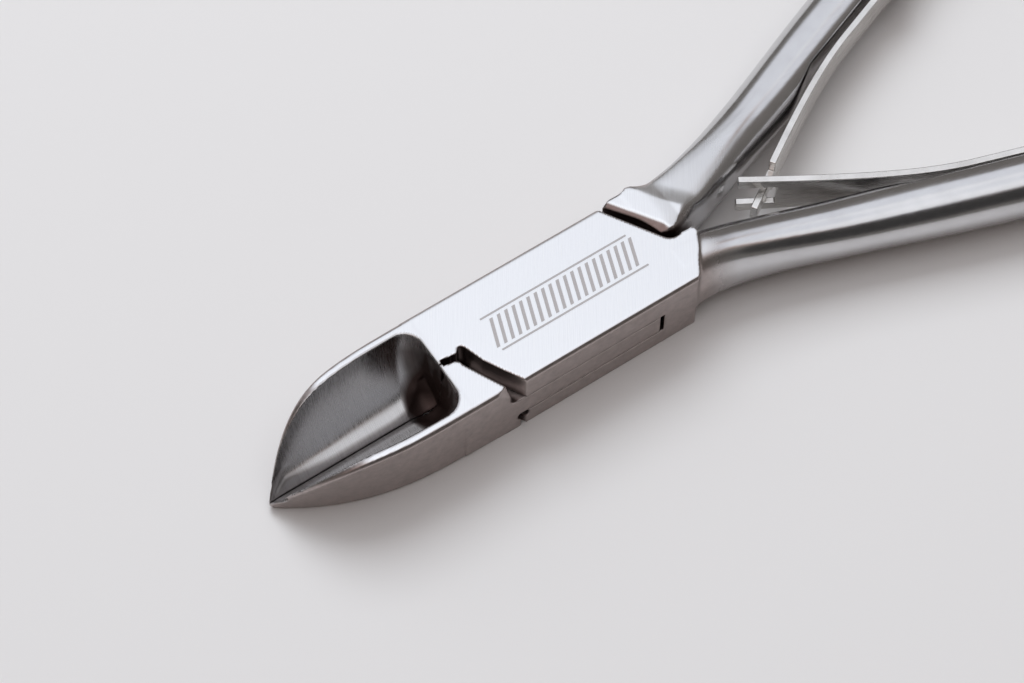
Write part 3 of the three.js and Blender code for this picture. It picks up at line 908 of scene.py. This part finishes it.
def forged_steel():
    """Ground and polished stainless steel, told apart by the zones painted on the halves, with painted shade
    laid over it.
    """
    graph = Graph("forged_steel")
    zones = graph.node("ShaderNodeVertexColor", layer_name="zones")
    parts = graph.node("ShaderNodeSeparateColor", {"Color": zones.outputs["Color"]}).outputs
    flat, inside, painted_shade = parts[:3]
    handle = zones.outputs["Alpha"]

    across = graph.noise((14.0, 0.35, 1.0), 4.0, BRUSH_TURN)
    strokes = graph.noise((9.0, 0.5, 0.5), 4.0, STROKE_TURN)
    along = graph.noise((0.12, 7.0, 7.0), 3.0)
    patches = graph.noise((0.45, 0.45, 0.45), 4.0)
    stains = graph.noise((1.4, 1.4, 1.4), 5.0, roughness=0.7)

    side = graph.tint((0.42, 0.365, 0.35), stains, 0.76, 1.18)
    bar = graph.tint((0.62, 0.615, 0.625), patches, 0.94, 1.04)
    face = graph.tint((0.96, 0.97, 0.99), across, 0.91, 1.04)
    scoop = graph.tint((0.50, 0.49, 0.49), strokes, 0.80, 1.12)
    colour = graph.mix(handle, side, bar)
    colour = graph.mix(flat, colour, face)
    colour = graph.mix(inside, colour, scoop)
    # Painted shade: a dark reddish brown laid over the steel in seams, gaps, the throat, along the cutting
    # bevel and on the handles' lower half.
    dark = graph.span(painted_shade, 0.25, 0.95, 0.0, 0.93)
    colour = graph.mix(dark, colour, (0.075, 0.042, 0.035))
    graph.put(graph.shader.inputs["Base Color"], colour)

    side_rough = graph.span(stains, 0.3, 0.7, 0.30, 0.40)
    rough = graph.mix(handle, side_rough, graph.span(along, 0.3, 0.7, 0.15, 0.21))
    rough = graph.mix(flat, rough, graph.span(across, 0.3, 0.7, 0.34, 0.46))
    rough = graph.mix(inside, rough, graph.span(strokes, 0.3, 0.7, 0.22, 0.34))
    rough = graph.mix(dark, rough, 0.55)
    graph.put(graph.shader.inputs["Roughness"], rough)

    height = graph.mix(flat, graph.times(stains, 0.5), across)
    height = graph.mix(inside, height, strokes)
    height = graph.mix(handle, height, graph.times(along, 0.25))
    bump = graph.node("ShaderNodeBump", {"Height": height, "Strength": 0.35, "Distance": 0.000012})
    graph.put(graph.shader.inputs["Normal"], bump.outputs["Normal"])
    graph.shader.inputs["Metallic"].default_value = 1.0
    return graph.material


def spring_steel():
    """Rolled strip, a little yellowed, with lengthwise lines."""
    graph = Graph("spring_steel")
    lines = graph.noise((0.2, 0.2, 12.0), 4.0)
    patches = graph.noise((0.6, 0.6, 0.6), 4.0)
    colour = graph.tint((0.76, 0.74, 0.715), patches, 0.86, 1.06)
    graph.put(graph.shader.inputs["Base Color"], colour)
    graph.put(graph.shader.inputs["Roughness"], graph.span(lines, 0.3, 0.7, 0.18, 0.32))
    bump = graph.node("ShaderNodeBump", {"Height": lines, "Strength": 0.3, "Distance": 0.00001})
    graph.put(graph.shader.inputs["Normal"], bump.outputs["Normal"])
    graph.shader.inputs["Metallic"].default_value = 1.0
    return graph.material


def fastener_steel():
    """Turned screw heads."""
    graph = Graph("fastener_steel")
    fine = graph.noise((6.0, 6.0, 6.0), 3.0)
    graph.put(graph.shader.inputs["Base Color"], graph.tint((0.58, 0.57, 0.56), fine, 0.85, 1.08))
    graph.put(graph.shader.inputs["Roughness"], graph.span(fine, 0.3, 0.7, 0.2, 0.34))
    graph.shader.inputs["Metallic"].default_value = 1.0
    return graph.material


def etching():
    """The frosted grey of an etched mark."""
    graph = Graph("etched_mark")
    grain = graph.noise((9.0, 9.0, 9.0), 3.0)
    graph.put(graph.shader.inputs["Base Color"], graph.tint((0.60, 0.57, 0.565), grain, 0.88, 1.12))
    graph.put(graph.shader.inputs["Roughness"], graph.span(grain, 0.3, 0.7, 0.5, 0.62))
    graph.shader.inputs["Metallic"].default_value = 0.85
    return graph.material


def dress(piece, material, body=None):
    """Gives a piece its material and slot, and the body it rides on if it has only one."""
    piece.data.materials.append(material)
    if body:
        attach(piece, body)


# ---- the pieces ----

forged = forged_steel()
spring = spring_steel()
fastener = fastener_steel()

box_piece = build_half("box_half_body", box_half, lap_half, 1, box_shift)
dress(box_piece, forged, "box_side")
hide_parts("box_half", "pivot_pin")

lap_piece = build_half("lap_half_body", lap_half, box_half, -1, lap_shift)
dress(lap_piece, forged, "lap_side")
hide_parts("lap_half")

dress(etched_band(), etching(), "box_side")

fork_path = spring_path()
tongue_path = to_lap_side(fork_path)
slot_length, slot_low, slot_high = FORK_SLOT
tongue_length, tongue_low, tongue_high = TONGUE
fork_levels = (0.0, slot_low, slot_high, THICKNESS)
tongue_levels = (0.0, tongue_low, tongue_high, THICKNESS)
SPRINGS = (
    ("fork", fork_path, slot_length, fork_levels, (0, 2), "box_side", "fork_leaf"),
    ("tongue", tongue_path, tongue_length, tongue_levels, (1,), "lap_side", "tongue_leaf"),
)
for label, path, end_length, levels, kept, side_body, leaf_body in SPRINGS:
    leaf = leaf_spring(label + "_spring", path, end_length, levels, kept)
    dress(leaf, spring)
    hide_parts(label + "_spring_leaf", label + "_spring_foot")
    along = (path[0] - path[5]) / np.linalg.norm(path[0] - path[5])
    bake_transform(leaf)
    outward = np.array([-along[1], along[0]]) * (1 if label == "fork" else -1)
    seat = path[0] - along * (FOOT_LENGTH - SCREW_PLACE) + outward * SCREW_HEAD_START
    head = screw(label + "_screw_head", (*seat, SPRING_MIDDLE), outward)
    dress(head, fastener, side_body)
    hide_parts(label + "_spring_screw")

# ---- floor and light ----

FLOOR_REACH = 2.0                 # metres from the middle to each side
FLOOR_GAP = 0.05 * MM
WINDOW = (0.98, 1.01, 1.08)
WORLD_BY_HEIGHT = (
    (0.00, (0.17, 0.160, 0.150)),
    (0.60, (0.20, 0.185, 0.175)),
    (0.77, (0.23, 0.205, 0.190)),
    (0.815, (0.50, 0.340, 0.280)),
    (0.852, (1.13, 1.140, 1.170)),
    (1.00, (1.24, 1.255, 1.300)),
)
WORLD_PATCHES = (                 # direction, full within and gone beyond (degrees), colour
    ((-0.20, 0.76, 0.62), 20, 28, WINDOW),
    ((0.06, 0.67, 0.74), 17, 25, WINDOW),
    ((0.22, 0.48, 0.85), 9, 15, WINDOW),
    ((0.43, 0.40, 0.81), 8, 14, WINDOW),
    ((0.46, -0.08, 0.88), 10, 16, WINDOW),
    ((-0.73, 0.42, 0.53), 22, 30, (0.12, 0.112, 0.106)),
    ((-0.67, -0.21, 0.71), 7, 12, (0.80, 0.56, 0.54)),
    ((-0.14, -0.80, 0.62), 20, 30, (0.05, 0.048, 0.047)),
)


def add_floor():
    """A plain pale table top."""
    mesh = bpy.data.meshes.new("floor")
    corners = [(x * FLOOR_REACH, y * FLOOR_REACH, 0) for x, y in ((-1, -1), (1, -1), (1, 1), (-1, 1))]
    mesh.from_pydata(corners, [], [(0, 1, 2, 3)])
    floor = bpy.data.objects.new("floor", mesh)
    floor.location.z = cad_box[0][2] - FLOOR_GAP
    bpy.context.scene.collection.objects.link(floor)
    graph = Graph("floor_paint")
    graph.shader.inputs["Base Color"].default_value = (0.80, 0.77, 0.75, 1.0)
    graph.shader.inputs["Roughness"].default_value = 0.6
    mesh.materials.append(graph.material)


def add_world():
    """A pale ceiling with a warm edge, windows beyond the handles, and dark and warm places to the sides."""
    world = bpy.data.worlds.new("studio")
    bpy.context.scene.world = world
    world.use_nodes = True
    tree = world.node_tree
    link = tree.links.new
    direction = tree.nodes.new("ShaderNodeTexCoord").outputs["Generated"]
    parts = tree.nodes.new("ShaderNodeSeparateXYZ")
    link(direction, parts.inputs[0])
    ramp = tree.nodes.new("ShaderNodeValToRGB")
    link(parts.outputs["Z"], ramp.inputs[0])
    while len(ramp.color_ramp.elements) < len(WORLD_BY_HEIGHT):
        ramp.color_ramp.elements.new(0.5)
    for element, (place, colour) in zip(ramp.color_ramp.elements, WORLD_BY_HEIGHT):
        element.position = place
        element.color = (*colour, 1.0)

    def patch(centre, inner, outer):
        """1 towards a direction, falling to 0 at an angle from it."""
        dot = tree.nodes.new("ShaderNodeVectorMath")
        dot.operation = "DOT_PRODUCT"
        link(direction, dot.inputs[0])
        dot.inputs[1].default_value = Vector(centre).normalized()
        spread = tree.nodes.new("ShaderNodeMapRange")
        spread.interpolation_type = "SMOOTHSTEP"
        link(dot.outputs["Value"], spread.inputs["Value"])
        spread.inputs["From Min"].default_value = math.cos(math.radians(outer))
        spread.inputs["From Max"].default_value = math.cos(math.radians(inner))
        return spread.outputs["Result"]

    def over(below, factor, colour):
        """A colour laid over another by a 0 to 1 factor."""
        mix = tree.nodes.new("ShaderNodeMix")
        mix.data_type = "RGBA"
        link(factor, mix.inputs[0])
        link(below, mix.inputs[6])
        mix.inputs[7].default_value = (*colour, 1.0)
        return mix.outputs[2]

    colour = ramp.outputs["Color"]
    for centre, inner, outer, patch_colour in WORLD_PATCHES:
        colour = over(colour, patch(centre, inner, outer), patch_colour)
    background = tree.nodes["Background"]
    link(colour, background.inputs["Color"])
    background.inputs["Strength"].default_value = 1.0


def add_lamp():
    """A soft lamp beyond the handles, which the steel itself doesn't mirror."""
    data = bpy.data.lights.new("ceiling", "AREA")
    data.shape = "RECTANGLE"
    data.size = 0.34
    data.size_y = 0.3
    data.energy = 1.5
    data.color = (0.89, 0.96, 1.03)
    lamp = bpy.data.objects.new("ceiling", data)
    lamp.location = (0.11, 0.29, 0.42)
    lamp.rotation_euler = lamp.location.to_track_quat("Z", "Y").to_euler()
    lamp.visible_glossy = False
    bpy.context.scene.collection.objects.link(lamp)


add_floor()
add_world()
add_lamp()

bpy.context.view_layer.update()
